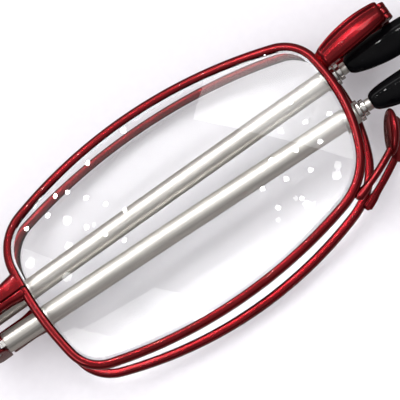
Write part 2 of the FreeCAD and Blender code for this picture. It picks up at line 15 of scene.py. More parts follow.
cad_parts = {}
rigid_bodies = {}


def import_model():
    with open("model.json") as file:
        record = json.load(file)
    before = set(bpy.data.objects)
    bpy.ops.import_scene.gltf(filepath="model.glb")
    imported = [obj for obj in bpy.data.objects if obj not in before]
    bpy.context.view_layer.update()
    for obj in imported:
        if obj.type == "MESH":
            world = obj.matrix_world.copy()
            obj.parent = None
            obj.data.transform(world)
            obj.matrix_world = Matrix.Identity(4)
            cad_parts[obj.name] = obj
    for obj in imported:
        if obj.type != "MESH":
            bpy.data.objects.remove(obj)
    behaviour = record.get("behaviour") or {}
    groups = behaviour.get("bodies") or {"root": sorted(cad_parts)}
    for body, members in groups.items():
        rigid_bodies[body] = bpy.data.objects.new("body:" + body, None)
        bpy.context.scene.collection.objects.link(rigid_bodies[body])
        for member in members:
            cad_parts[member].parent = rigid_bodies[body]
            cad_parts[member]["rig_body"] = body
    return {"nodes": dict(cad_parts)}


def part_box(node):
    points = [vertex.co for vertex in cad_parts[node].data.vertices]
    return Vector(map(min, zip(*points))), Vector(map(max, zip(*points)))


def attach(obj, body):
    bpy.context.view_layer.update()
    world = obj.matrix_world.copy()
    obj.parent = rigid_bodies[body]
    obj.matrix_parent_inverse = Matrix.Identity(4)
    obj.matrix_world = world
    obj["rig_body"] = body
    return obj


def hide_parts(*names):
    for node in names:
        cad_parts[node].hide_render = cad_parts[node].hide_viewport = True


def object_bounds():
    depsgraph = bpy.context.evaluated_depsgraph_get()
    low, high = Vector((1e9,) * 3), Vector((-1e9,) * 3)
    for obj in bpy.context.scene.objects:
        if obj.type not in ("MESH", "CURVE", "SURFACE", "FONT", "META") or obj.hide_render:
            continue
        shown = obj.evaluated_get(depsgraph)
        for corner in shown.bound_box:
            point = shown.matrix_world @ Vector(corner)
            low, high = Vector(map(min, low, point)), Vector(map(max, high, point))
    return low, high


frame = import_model()
cad_low, cad_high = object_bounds()

MM = 0.001
SIDES = ("right", "left")

# ---------------------------------------------------------------- sizes, in millimetres
# The rim's centre line, clockwise from the front: each side's direction, its outermost
# point, its radius, and the radius of the corner that follows it.
OUTLINE = (
    ((0, 1), (-1.5, 14.4), 73.0, 5.2),
    ((1, 0), (24.3, 3.0), 23.5, 9.5),
    ((0, -1), (-0.3, -14.0), 59.0, 5.4),
    ((-1, 0), (-23.9, 1.0), 47.0, 6.1),
)
TEMPORAL = 3
RIM_HALF_WIDTH = 0.575
RIM_HALF_DEPTH = 0.7
RIM_CROWN = 0.85
RIM_FRONT_EDGE, RIM_BACK_OUTER, RIM_BACK_INNER = 0.16, 0.54, 0.30
BASE_RADIUS, BASE_POLE = 122.0, 5.6
GROOVE_DEPTH, GROOVE_HALF = 0.35, 0.4
SPLIT = 0.3
LENS_FRONT = (115.0, 6.29)
LENS_BACK = (180.0, 4.29)
LENS_FIT, LENS_CHAMFER = 0.03, 0.3
LENS_BEVEL_HALF = 0.32
LENS_RINGS = (0.02, 0.12, 0.25, 0.4, 0.55, 0.7, 0.82, 0.91, 0.965)
TEMPLE_HINGE_X = -31.5
TEMPLE_Y = {"right": 4.3, "left": 0.5}
TEMPLE_TILT = {"right": 0.0, "left": math.radians(-2.0)}
END_LOW, END_HIGH = 0.95, 2.2
BAR_LOW, BAR_HIGH = 2.0, 3.9
BAR_GAP = 0.06
BAR_FLARE_RUN, BAR_LIFT_RUN, BAR_LIFT = 2.6, 1.6, 0.12
BAR_FLARE, BLOCK_FLARE = 0.45, 0.4
BAR_ROOT = -23.85
POST_FRONT, POST_BACK = -33.0, -30.1
POST_SLOPE = (1.5, 1.1)
BLOCK_END = -29.7
KNUCKLE = 1.3
KNUCKLE_HALF = 0.45
KNUCKLE_GAP = 0.06
SCREW_RADIUS, HEAD_RADIUS, HEAD_HEIGHT = 0.5, 0.78, 0.5
SEAT_RADIUS = 0.81
HEAD_SINK = 0.02
DRIVER_SLOT = (0.24, 0.26)
CLOSING_SCREW = (-27.4, 2.95)
BRIDGE_ROOT_X, BRIDGE_FACE_X, BRIDGE_HINGE_X = 24.3, 34.65, 34.7
BRIDGE_ROOT = (4.75, 7.15)
BRIDGE_END = (5.92, 8.6)
BRIDGE_BURIED = 0.35
BRIDGE_FLARE, BRIDGE_FLARE_RUN = 0.1, 1.2
BRIDGE_DIP, BRIDGE_DIP_RUN = 0.75, 1.1
BRIDGE_END_RUN, BRIDGE_END_TAPER, BRIDGE_END_DROP = 0.3, 0.12, 0.16
BRIDGE_HEEL_LOW = 6.08
BRIDGE_KNUCKLES = (6.2, 8.6)
BRIDGE_KNUCKLE = 0.75
BRIDGE_MIDDLE_HALF = 0.45
BRIDGE_PIN = 0.35
BRIDGE_TOP = (4.05, 2.75)
BRIDGE_UNDER = (2.4, 1.55)
BRIDGE_ARCH_END, BRIDGE_HEEL, BRIDGE_SLOT = 32.65, 33.85, 33.85
# The arcs of the strip's top, underside, lower edge and upper edge.
BRIDGE_TOP_BOW, BRIDGE_UNDER_BOW, BRIDGE_LOW_BOW, BRIDGE_HIGH_BOW = 26.0, 34.0, 60.0, 22.0
# The strip's top from its upper edge down: share of the width, drop below the crown, rounding.
BRIDGE_RIM_EDGE = ((0.0, 0.18, 0.06), (0.09, 0.12, 0.05))
BRIDGE_VALLEY = (0.21, 0.12, 0.16)
BRIDGE_VALLEY_DEPTH = 0.26
BRIDGE_VALLEY_START = (0.75, 1.15)
BRIDGE_VALLEY_STOP, BRIDGE_VALLEY_LEFT = (0.7, 0.2), 0.35
BRIDGE_CROWN = (
    (0.40, 0.10, 0.5),
    (0.58, 0.0, 0.6),
    (0.76, 0.06, 0.6),
    (0.92, 0.28, 0.3),
    (1.0, 0.62, 0.18),
)
PAD_CENTRE = (26.75, -6.8, 2.25)
PAD_TURN, PAD_LEAN = -29.0, 30.0
PAD_HALF_LENGTH, PAD_HALF_HEIGHT, PAD_FLAT, PAD_FULL = 3.1, 1.95, 0.6, 0.8
PAD_WIRE = ((18.25, -11.8, 3.6), (21.6, -10.55, 2.8), (25.5, -8.6, 2.25))
# The wire's half width and half thickness along it, from its foot on the rim.
PAD_WIRE_WIDE = ((0.0, 0.3), (0.45, 0.68), (1.4, 0.66), (3.0, 0.5))
PAD_WIRE_THICK = ((0.0, 0.2), (0.45, 0.48), (3.0, 0.48))
# Turned pieces of a temple, along from its hinge: start, end, outer radius, bore.
OUTER_TUBE = (1.7, 56.1, 1.4, 1.18)
OUTER_COLLAR = (56.14, 56.72, 1.48, 1.03)
COLLAR_LIP = (56.80, 1.12)
MIDDLE_TUBE = (6.6, 56.82, 1.0, 0.8)
MIDDLE_STOP_RING = (6.6, 8.2, 1.15, 1.0)
MIDDLE_COLLAR = (56.86, 57.46, 1.15, 0.63)
TIP_FERRULE = (57.54, 58.28, 0.82, 0.6)
ROD_STOP_RING = (8.4, 10.0, 0.77, 0.6)
ROD = (8.4, 66.3, 0.6)
PLUG = (1.72, 4.2, 1.16)
LEAF_WEB = (0.9, 2.0)
# The black tip: where it starts, then along, drop, half width and half thickness.
TIP_START = 58.3
TIP_SECTIONS = (
    (0.0, 0.0, 0.82, 0.78),
    (0.12, 0.01, 1.02, 0.94),
    (0.7, 0.05, 1.40, 1.12),
    (3.0, 0.32, 1.90, 1.28),
    (6.0, 0.60, 2.18, 1.33),
    (8.6, 0.78, 2.20, 1.30),
    (11.4, 0.88, 1.70, 1.08),
    (13.3, 0.97, 0.90, 0.68),
    (13.9, 0.99, 0.50, 0.40),
    (14.1, 1.00, 0.10, 0.08),
)

# ---------------------------------------------------------------- placing
rim_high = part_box("right_rim")[1]
back_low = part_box("left_rim")[0]
ORIGIN = Vector(
    (
        rim_high.x - (OUTLINE[1][1][0] + RIM_HALF_WIDTH) * MM,
        rim_high.y - (OUTLINE[0][1][1] + RIM_HALF_WIDTH) * MM,
        (rim_high.z + back_low.z) / 2,
    )
)


def at(point):
    """A working point in the scene's metres."""
    return ORIGIN + Vector(point) * MM


def as_right(point):
    """A working point, which the right half is already in."""
    return Vector(point)


def as_left(point):
    """The same point on the other half, beyond the fold plane."""
    return Vector((point[0], point[1], -point[2]))


ON_SIDE = {"right": as_right, "left": as_left}


def on_temple(side):
    """Turns (along, across, up) from a temple's hinge into working points."""
    turn = Matrix.Rotation(TEMPLE_TILT[side], 3, "Z")
    hinge = Vector((TEMPLE_HINGE_X, TEMPLE_Y[side], 0))
    return lambda point: hinge + turn @ Vector(point)


# ---------------------------------------------------------------- mesh building
def rounded(corners, steps=4):
    """A closed 2-D outline through (a, b, radius) corners, each turned into a small arc."""
    outline = []
    for n, (a, b, radius) in enumerate(corners):
        here = Vector((a, b))
        if not radius:
            outline.append(here)
            continue
        before = (Vector(corners[n - 1][:2]) - here).normalized()
        after = (Vector(corners[(n + 1) % len(corners)][:2]) - here).normalized()
        half = before.angle(after) / 2
        centre = here + (before + after).normalized() * (radius / math.sin(half))
        inset = radius / math.tan(half)
        start = (here + before * inset - centre).normalized()
        end = (here + after * inset - centre).normalized()
        for step in range(steps + 1):
            outline.append(centre + start.slerp(end, step / steps) * radius)
    return outline


def shell(rings, closed=False):
    """Points and faces of a closed surface through equal rings, capped unless it meets itself."""
    count = len(rings[0])
    points = [Vector(point) for ring in rings for point in ring]
    faces = []
    for n in range(len(rings) if closed else len(rings) - 1):
        here, there = n * count, (n + 1) % len(rings) * count
        for k in range(count):
            after = (k + 1) % count
            faces.append((here + k, here + after, there + after, there + k))
    if not closed:
        last = (len(rings) - 1) * count
        faces.append(tuple(range(count)))
        faces.append(tuple(range(last, last + count)))
    return points, faces


def lathe(outline, place, segments=48, closed=True):
    """A turned shape: (along, radius) outline round an axis, placed by a function."""
    rings = []
    for along, radius in outline:
        ring = []
        for k in range(segments):
            angle = 2 * math.pi * k / segments
            ring.append(place((along, radius * math.cos(angle), radius * math.sin(angle))))
        rings.append(ring)
    return shell(rings, closed)


def turned_ring(low, high, radius, bore, edge=0.08):
    """The outline of a tube or collar with rounded outer edges and small inner ones."""
    inner = min(edge, (radius - bore) / 3)
    return rounded(
        ((low, bore, inner), (low, radius, edge), (high, radius, edge), (high, bore, inner)), 3
    )


def closed_object(name, shells):
    """An object whose mesh is closed shells with their faces turned outward."""
    mesh = bpy.data.meshes.new(name)
    points, faces = [], []
    for shell_points, shell_faces in shells:
        shift = len(points)
        points += [at(point) for point in shell_points]
        faces += [tuple(shift + k for k in face) for face in shell_faces]
    mesh.from_pydata(points, [], faces)
    work = bmesh.new()
    work.from_mesh(mesh)
    bmesh.ops.recalc_face_normals(work, faces=work.faces)
    work.to_mesh(mesh)
    work.free()
    thing = bpy.data.objects.new(name, mesh)
    bpy.context.scene.collection.objects.link(thing)
    return thing


def piece(node, shells, material, smooth_angle=32, bevel=0, bevel_steps=3, cutters=()):
    """One object from closed shells: it stands for a CAD node, rides its body, takes its slot."""
    thing = closed_object(f"{node}_surface", shells)
    if bevel:
        rounding = thing.modifiers.new("rounded_edges", "BEVEL")
        rounding.width = bevel * MM
        rounding.segments = bevel_steps
        rounding.limit_method = "ANGLE"
        rounding.angle_limit = math.radians(30)
    if cutters:
        carve(thing, cutters)
    thing.data.shade_smooth()
    thing.data.set_sharp_from_angle(angle=math.radians(smooth_angle))
    thing.data.materials.clear()
    thing.data.materials.append(material)
    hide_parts(node)
    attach(thing, frame["nodes"][node]["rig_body"])
    return thing


def carve(thing, cutters):
    """Cut closed shells out of an object's mesh."""
    for number, cutter in enumerate(cutters):
        tool = closed_object(f"cutter_{number}", [cutter])
        cut = thing.modifiers.new("cut", "BOOLEAN")
        cut.operation = "DIFFERENCE"
        cut.solver = "EXACT"
        cut.use_self = True
        cut.object = tool
        bpy.context.view_layer.update()
        made = bpy.data.meshes.new_from_object(
            thing.evaluated_get(bpy.context.evaluated_depsgraph_get())
        )
        thing.modifiers.clear()
        thing.data = made
        bpy.data.objects.remove(tool)


def block(place, x, y, z):
    """A plain box between pairs of planes, as a shell."""
    rings = []
    for value in x:
        ring = [(value, y[0], z[0]), (value, y[1], z[0]), (value, y[1], z[1]), (value, y[0], z[1])]
        rings.append([place(point) for point in ring])
    return shell(rings)


def blend_value(stations, x):
    """A value read off (x, value) stations, eased between them."""
    if x <= stations[0][0]:
        return stations[0][1]
    for (x0, v0), (x1, v1) in zip(stations, stations[1:]):
        if x <= x1:
            share = (x - x0) / (x1 - x0)
            return v0 + (v1 - v0) * share * share * (3 - 2 * share)
    return stations[-1][1]


def spread(low, high, count):
    """Evenly spaced values from low to high."""
    return [low + (high - low) * n / (count - 1) for n in range(count)]


def bowed(ends, radius, share, run):
    """How high an arc of a radius stands at a share of the way between two values a run apart."""
    sag = radius - math.sqrt(radius**2 - run**2 / 4)
    return ends[0] + (ends[1] - ends[0]) * share + sag * (1 - (2 * share - 1) ** 2)


# ---------------------------------------------------------------- the rim's outline
def crossing(first, first_radius, second, second_radius, towards):
    """Where two circles cross, at the crossing that lies furthest in a direction."""
    between = second - first
    gap = between.length
    along = (first_radius**2 - second_radius**2 + gap**2) / (2 * gap)
    aside = math.sqrt(first_radius**2 - along**2)
    across = Vector((-between.y, between.x)) / gap
    middle = first + between * (along / gap)
    return max((middle + across * aside, middle - across * aside), key=towards.dot)


def outline_arcs():
    """The outline's eight arcs, clockwise: centre, radius, start angle, sweep."""
    ways = [Vector(side[0]) for side in OUTLINE]
    centres = [Vector(apex) - Vector(way) * radius for way, apex, radius, _ in OUTLINE]
    corners = []
    for n, (_, _, radius, corner) in enumerate(OUTLINE):
        after = (n + 1) % 4
        corners.append(
            crossing(
                centres[n],
                radius - corner,
                centres[after],
                OUTLINE[after][2] - corner,
                ways[n] + ways[after],
            )
        )

    def angle(centre, point):
        return math.atan2(point.y - centre.y, point.x - centre.x)

    arcs = []
    for n, (_, _, radius, corner) in enumerate(OUTLINE):
        after = (n + 1) % 4
        start = angle(centres[n], corners[n - 1])
        end = angle(centres[n], corners[n])
        arcs.append((centres[n], radius, start, (start - end) % (2 * math.pi)))
        leave = angle(centres[after], corners[n])
        arcs.append((corners[n], corner, end, (end - leave) % (2 * math.pi)))
    return arcs


def walk(arcs, longest=0.8, widest=math.radians(4)):
    """(point, outward direction) pairs along arcs, dense enough to look round."""
    path = []
    for centre, radius, start, sweep in arcs:
        steps = max(2, math.ceil(sweep * radius / longest), math.ceil(sweep / widest))
        for step in range(steps):
            turn = start - sweep * step / steps
            outward = Vector((math.cos(turn), math.sin(turn)))
            path.append((centre + outward * radius, outward))
    return path


def split_path(height):
    """The outline from one face of the rim's split, all the way round to the other."""
    arcs = outline_arcs()
    side = 2 * TEMPORAL
    centre, radius, start, sweep = arcs[side]
    faces = []
    for edge in (height - SPLIT / 2, height + SPLIT / 2):
        faces.append(math.pi - math.asin((edge - centre.y) / radius))
    start %= 2 * math.pi
    upper = (centre, radius, faces[1], faces[1] - (start - sweep))
    lower = (centre, radius, start, start - faces[0])
    path = walk([upper, *arcs[side + 1 :], *arcs[:side], lower])
    outward = Vector((math.cos(faces[0]), math.sin(faces[0])))
    path.append((centre + outward * radius, outward))
    return path


def cap_height(point, radius, pole):
    """Height of a sphere's cap over a point."""
    return pole - radius + math.sqrt(radius**2 - point.x**2 - point.y**2)


# ---------------------------------------------------------------- materials
def material_with(name, **values):
    """A material whose Principled shader has these plain values."""
    material = bpy.data.materials.new(name)
    material.use_nodes = True
    shader = material.node_tree.nodes["Principled BSDF"]
    for word, value in values.items():
        shader.inputs[word.replace("_", " ")].default_value = value
    return material, shader


def add_node(material, kind, inputs=None, **settings):
    """A shader node with its settings, and its inputs linked or set."""
    made = material.node_tree.nodes.new(f"ShaderNode{kind}")
    for name, value in settings.items():
        setattr(made, name, value)
    for name, value in (inputs or {}).items():
        if isinstance(value, bpy.types.NodeSocket):
            material.node_tree.links.new(value, made.inputs[name])
        else:
            made.inputs[name].default_value = value
    return made


def grain(material, scale, stretch=(1, 1, 1), turn=0.0, detail=3.0, roughness=0.5):
    """Noise in the object's own space; stretch squeezes it along an axis, turned about Z."""
    where = add_node(material, "TexCoord")
    turned = add_node(material, "Mapping", {"Vector": where.outputs["Object"]})
    turned.inputs["Rotation"].default_value = (0, 0, -turn)
    mapped = add_node(material, "Mapping", {"Vector": turned.outputs["Vector"]})
    mapped.inputs["Scale"].default_value = stretch
    noise = add_node(
        material,
        "TexNoise",
        {"Vector": mapped.outputs["Vector"], "Scale": scale, "Detail": detail, "Roughness": roughness},
    )
    return noise.outputs["Fac"]


def ramp(material, source, *stops):
    """A colour ramp from (place, colour or grey) stops."""
    made = add_node(material, "ValToRGB", {"Fac": source})
    band = made.color_ramp
    while len(band.elements) < len(stops):
        band.elements.new(0.5)
    for element, (place, value) in zip(band.elements, stops):
        element.position = place
        element.color = (*value, 1) if isinstance(value, tuple) else (value, value, value, 1)
    return made.outputs["Color"]


def drive(material, shader, socket, source):
    """Link a source to a socket of the shader."""
    material.node_tree.links.new(source, shader.inputs[socket])


def add_bump(material, shader, height, distance, strength=1.0):
    """Relief of a real depth in millimetres."""
    bump = add_node(
        material, "Bump", {"Height": height, "Distance": distance * MM, "Strength": strength}
    )
    drive(material, shader, "Normal", bump.outputs["Normal"])


def mirror_share(tree):
    """1 for rays that a surface mirrored, also through a lens, and 0 for all others."""
    path = tree.nodes.new("ShaderNodeLightPath")
    once = tree.nodes.new("ShaderNodeMath")
    once.operation = "MINIMUM"
    once.inputs[1].default_value = 1.0
    tree.links.new(path.outputs["Glossy Depth"], once.inputs[0])
    share = tree.nodes.new("ShaderNodeMath")
    share.operation = "SUBTRACT"
    share.use_clamp = True
    tree.links.new(once.outputs[0], share.inputs[0])
    tree.links.new(path.outputs["Is Diffuse Ray"], share.inputs[1])
    return share.outputs[0]


def red_lacquer():
    """Translucent red lacquer over bright metal: deeper where it pooled, a faint orange peel."""
    material, shader = material_with(
        "red_lacquer", Metallic=0.92, IOR=1.5, Coat_Weight=0.35, Coat_Roughness=0.03, Coat_IOR=1.5
    )
    pooled = grain(material, 260, detail=4)
    drive(
        material,
        shader,
        "Base Color",
        ramp(material, pooled, (0.3, (0.155, 0.0015, 0.004)), (0.7, (0.24, 0.004, 0.009))),
    )
    worn = grain(material, 1400, detail=2)
    drive(material, shader, "Roughness", ramp(material, worn, (0.35, 0.18), (0.7, 0.26)))
    add_bump(material, shader, grain(material, 2600, detail=2), 0.004, 0.5)
    return material


def clear_lens():
    """Hard-coated plastic lens: clear, with hardly visible polishing swirl; lamps pass it."""
    material, shader = material_with(
        "clear_lens", IOR=1.5, Roughness=0.0, Transmission_Weight=1.0
    )
    swirl = grain(material, 90, detail=2)
    drive(
        material,
        shader,
        "Base Color",
        ramp(material, swirl, (0.3, (0.985, 0.99, 0.99)), (0.7, (1.0, 1.0, 1.0))),
    )
    tree = material.node_tree
    path = add_node(material, "LightPath")
    passes = add_node(material, "BsdfTransparent", {"Color": (0.995, 0.995, 0.995, 1)})
    mixed = add_node(material, "MixShader", {"Fac": path.outputs["Is Shadow Ray"]})
    tree.links.new(shader.outputs[0], mixed.inputs[1])
    tree.links.new(passes.outputs[0], mixed.inputs[2])
    tree.links.new(mixed.outputs[0], tree.nodes["Material Output"].inputs["Surface"])
    return material


def satin_silver(name, turn):
    """Drawn tube with lengthwise brushing; turn is the tube's own direction about Z."""
    material, shader = material_with(name, Metallic=1.0, IOR=1.5)
    lines = grain(material, 1, (70, 5200, 5200), turn, detail=4, roughness=0.6)
    drive(
        material,
        shader,
        "Base Color",
        ramp(material, lines, (0.3, (0.64, 0.615, 0.575)), (0.7, (0.80, 0.775, 0.73))),
    )
    drive(material, shader, "Roughness", ramp(material, lines, (0.3, 0.32), (0.7, 0.46)))
    add_bump(material, shader, lines, 0.006, 0.45)
    return material


def polished_collar():
    """Polished collars with fine turning marks across the axis."""
    material, shader = material_with("polished_collar", Metallic=1.0)
    marks = grain(material, 1, (9000, 500, 500), detail=2)
    drive(
        material,
        shader,
        "Base Color",
        ramp(material, marks, (0.3, (0.78, 0.77, 0.75)), (0.7, (0.88, 0.87, 0.86))),
    )
    drive(material, shader, "Roughness", ramp(material, marks, (0.3, 0.06), (0.7, 0.14)))
    add_bump(material, shader, marks, 0.003, 0.4)
    return material


def screw_steel():
    """Plain steel of screws and pins, lightly scratched."""
    material, shader = material_with("screw_steel", Metallic=1.0)
    marks = grain(material, 3200, (1, 0.15, 1), detail=4)
    drive(
        material,
        shader,
        "Base Color",
        ramp(material, marks, (0.3, (0.42, 0.41, 0.40)), (0.7, (0.60, 0.59, 0.57))),
    )
    drive(material, shader, "Roughness", ramp(material, marks, (0.3, 0.2), (0.7, 0.38)))
    add_bump(material, shader, marks, 0.004, 0.5)
    return material


def stop_brass():
    """Turned brass of the friction rings, dulled by sliding."""
    material, shader = material_with("stop_brass", Metallic=1.0)
    marks = grain(material, 1, (9000, 900, 900), detail=3)
    drive(
        material,
        shader,
        "Base Color",
        ramp(material, marks, (0.3, (0.62, 0.44, 0.18)), (0.7, (0.78, 0.60, 0.30))),
    )
    drive(material, shader, "Roughness", ramp(material, marks, (0.3, 0.22), (0.7, 0.4)))
    add_bump(material, shader, marks, 0.004, 0.5)
    return material


def black_tip():
    """Gloss black acetate tips with a slightly uneven, tumbled surface."""
    material, shader = material_with("black_tip", IOR=1.5, Specular_IOR_Level=0.1)
    tumbled = grain(material, 420, detail=2)
    drive(
        material,
        shader,
        "Base Color",
        ramp(material, tumbled, (0.3, (0.001, 0.001, 0.0015)), (0.7, (0.003, 0.003, 0.0035))),
    )
    drive(material, shader, "Roughness", ramp(material, tumbled, (0.3, 0.02), (0.7, 0.05)))
    add_bump(material, shader, grain(material, 900, detail=1), 0.02, 0.5)
    return material


# ---------------------------------------------------------------- pieces
def make_rim(side, material):
    """The grooved wire: crowned in front, rounded behind, split at the end piece."""
    crown = [
        (across, RIM_HALF_DEPTH - RIM_CROWN + math.sqrt(RIM_CROWN**2 - across**2), 0)
        for across in spread(-RIM_HALF_WIDTH * 0.8, RIM_HALF_WIDTH * 0.72, 9)
    ]
    section = rounded(
        (
            *crown,
            (RIM_HALF_WIDTH, RIM_HALF_DEPTH * 0.45, RIM_FRONT_EDGE),
            (RIM_HALF_WIDTH, -RIM_HALF_DEPTH, RIM_BACK_OUTER),
            (-RIM_HALF_WIDTH, -RIM_HALF_DEPTH, RIM_BACK_INNER),
            (-RIM_HALF_WIDTH, -GROOVE_HALF, 0.04),
            (-RIM_HALF_WIDTH + GROOVE_DEPTH, -GROOVE_HALF * 0.5, 0.05),
            (-RIM_HALF_WIDTH + GROOVE_DEPTH, GROOVE_HALF * 0.5, 0.05),
            (-RIM_HALF_WIDTH, GROOVE_HALF, 0.02),
        ),
        5,
    )
    rings = []
    for point, outward in split_path(TEMPLE_Y[side]):
        ring = []
        for across, depth in section:
            spot = point + outward * across
            height = cap_height(spot, BASE_RADIUS, BASE_POLE) + depth
            ring.append(ON_SIDE[side]((spot.x, spot.y, height)))
        rings.append(ring)
    piece(f"{side}_rim", [shell(rings)], material, smooth_angle=40)


def make_lens(side, material):
    """A meniscus with a V bevel in the groove and a polished chamfer in front and behind."""
    path = walk(outline_arcs())
    inner = -RIM_HALF_WIDTH - LENS_FIT
    apex = -RIM_HALF_WIDTH + GROOVE_DEPTH - LENS_FIT
    polished = inner - LENS_CHAMFER
    land = LENS_BEVEL_HALF + 0.04

    def edge(offset, height_over):
        ring = []
        for point, outward in path:
            spot = point + outward * offset
            ring.append(ON_SIDE[side]((spot.x, spot.y, height_over(spot))))
        return ring

    def face(cap, share):
        ring = []
        for point, outward in path:
            spot = (point + outward * polished) * share
            ring.append(ON_SIDE[side]((spot.x, spot.y, cap_height(spot, *cap))))
        return ring

    def front(spot):
        return cap_height(spot, *LENS_FRONT)

    def back(spot):
        return cap_height(spot, *LENS_BACK)

    def middle(shift):
        return lambda spot: cap_height(spot, BASE_RADIUS, BASE_POLE) + shift

    def front_edge(spot):
        return max(front(spot) - LENS_CHAMFER, middle(land)(spot))

    def back_edge(spot):
        return min(back(spot) + LENS_CHAMFER, middle(-land)(spot))

    rings = [face(LENS_FRONT, share) for share in LENS_RINGS]
    rings.append(edge(polished, front))
    rings.append(edge(inner, front_edge))
    rings.append(edge(inner, middle(LENS_BEVEL_HALF)))
    rings.append(edge(apex, middle(0.0)))
    rings.append(edge(inner, middle(-LENS_BEVEL_HALF)))
    rings.append(edge(inner, back_edge))
    rings.append(edge(polished, back))
    rings += [face(LENS_BACK, share) for share in reversed(LENS_RINGS)]
    piece(f"{side}_lens", [shell(rings)], material, smooth_angle=18)


def bar_rings(side, x_from, x_to, low, high, flare_low, flare_high, count=22):
    """Rings of a rounded bar along X that widens as it runs into the rim."""
    soft = min(0.9, (high - low) * 0.75)
    sharp = 0.16
    widening = ((x_to - BAR_FLARE_RUN, 0.0), (x_to - 0.55, 0.55), (x_to, 1.0))
    lifting = ((x_to - BAR_LIFT_RUN, 0.0), (x_to, BAR_LIFT))
    rings = []
    for x in spread(x_from, x_to, count):
        widen = blend_value(widening, x)
        lift = blend_value(lifting, x)
        section = rounded(
            (
                (low - flare_low * widen, BAR_LOW, 0.3),
                (high + flare_high * widen, BAR_LOW, 0.3),
                (high + flare_high * widen, BAR_HIGH + lift, soft if flare_high else sharp),
                (low - flare_low * widen, BAR_HIGH + lift, soft if flare_low else sharp),
            ),
            5,
        )
        rings.append([ON_SIDE[side]((x, a, b)) for a, b in section])
    return rings


def seat(side, x, z, high):
    """A cutter for the counterbore of a screw whose head is flush with the high end."""

    def place(point):
        along, out, up = point
        return ON_SIDE[side]((x + out, along, z + up))

    outline = (
        (high - HEAD_HEIGHT, 0.001),
        (high - HEAD_HEIGHT, SEAT_RADIUS),
        (high + HEAD_HEIGHT, SEAT_RADIUS),
        (high + HEAD_HEIGHT, 0.001),
    )
    return lathe(outline, place, 40, closed=False)


def make_end_piece(side, material):
    """The hinged end of the front: a bar soldered to the rim, its post and two knuckles."""
    middle = TEMPLE_Y[side]
    low, high = middle - END_LOW, middle + END_HIGH
    slot = KNUCKLE_HALF + KNUCKLE_GAP
    start = POST_BACK - 0.5
    bar = shell(bar_rings(side, start, BAR_ROOT, middle + BAR_GAP, high, 0.0, BAR_FLARE))
    rings = []
    for x in spread(POST_FRONT, POST_BACK, 12):
        top = blend_value(
            ((POST_FRONT, BAR_HIGH - POST_SLOPE[1]), (POST_FRONT + POST_SLOPE[0], BAR_HIGH)), x
        )
        section = rounded(
            (
                (low, 0.0, 0.1),
                (middle - slot, 0.0, 0.08),
                (middle - slot, KNUCKLE + KNUCKLE_GAP, 0.08),
                (middle + slot, KNUCKLE + KNUCKLE_GAP, 0.08),
                (middle + slot, 0.0, 0.08),
                (high, 0.0, 0.1),
                (high, top, 0.34),
                (low, top, 0.34),
            ),
            3,
        )
        rings.append([ON_SIDE[side]((x, a, b)) for a, b in section])
    shells = [bar, shell(rings)]
    for under, over in ((low, middle - slot), (middle + slot, high)):
        shells.append(upright_ring(side, TEMPLE_HINGE_X, 0, under, over, KNUCKLE, SCREW_RADIUS))
    seats = [seat(side, TEMPLE_HINGE_X, 0, high), seat(side, *CLOSING_SCREW, high)]
    piece(
        f"{side}_end_piece", shells, material, bevel=0.1, bevel_steps=2, cutters=seats
    )


def upright_ring(side, x, z, low, high, radius, bore, edge=0.1):
    """A tube along Y about (x, z)."""

    def place(point):
        along, out, up = point
        return ON_SIDE[side]((x + out, along, z + up))

    return lathe(turned_ring(low, high, radius, bore, edge), place, 40)


def make_closing_block(side, material):
    """The lower half of the split end, which the closing screw pulls up to shut the rim."""
    middle = TEMPLE_Y[side]
    low = middle - END_LOW
    rings = bar_rings(side, BLOCK_END, BAR_ROOT, low, middle - BAR_GAP, BLOCK_FLARE, 0.0)
    piece(
        f"{side}_closing_block", [shell(rings)], material, bevel=0.16, bevel_steps=3
    )


def screw_shell(side, x, z, low, high):
    """A shank with a cheese head at its high end."""

    def place(point):
        along, out, up = point
        return ON_SIDE[side]((x + out, along, z + up))

    under_head = high - HEAD_HEIGHT
    shank = SCREW_RADIUS - 0.02
    face = high - HEAD_SINK
    outline = rounded(
        (
            (low, 0.001, 0),
            (low, shank, 0.1),
            (under_head, shank, 0),
            (under_head, HEAD_RADIUS, 0.05),
            (face, HEAD_RADIUS, 0.12),
            (face, 0.001, 0),
        ),
        4,
    )
    return lathe(outline, place, 40, closed=False)


def make_screw(side, node, x, z, material):
    """One screw along Y, with a driver slot sunk in its head."""
    low, high = TEMPLE_Y[side] - END_LOW, TEMPLE_Y[side] + END_HIGH
    reach = HEAD_RADIUS * 1.2
    wide, deep = DRIVER_SLOT
    groove = block(
        ON_SIDE[side],
        (x - reach, x + reach),
        (high - deep, high + 0.2),
        (z - wide / 2, z + wide / 2),
    )
    piece(node, [screw_shell(side, x, z, low, high)], material, cutters=[groove])


